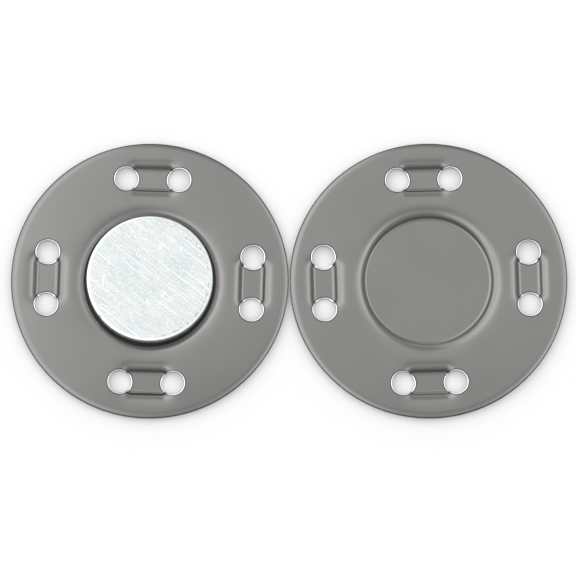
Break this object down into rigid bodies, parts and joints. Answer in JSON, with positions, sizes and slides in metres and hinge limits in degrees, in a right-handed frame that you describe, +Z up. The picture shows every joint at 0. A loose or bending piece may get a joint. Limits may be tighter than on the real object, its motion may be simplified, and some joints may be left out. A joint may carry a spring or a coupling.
{
  "type": "magnetic snap",
  "caption": "Sew-on magnetic snap, opened: a round stamped steel half with a proud disc magnet beside its matching plain steel half, both with sewing holes round the edge.",
  "frame": {"origin": "the point of the table between the two rims, under the middle of the pair", "axes": "+X from the half with the magnet to the plain half, +Z up, out of the faces that meet when it closes"},
  "size_m": [0.056, 0.028, 0.0026],
  "materials": {
    "plate": "satin",
    "magnet": "satin",
    "adhesive": "gloss"
  },
  "bodies": {
    "root": {"magnet_half_plate": "plate", "magnet": "magnet", "adhesive": "adhesive", "keeper_half_plate": "plate"}
  },
  "joints": []
}
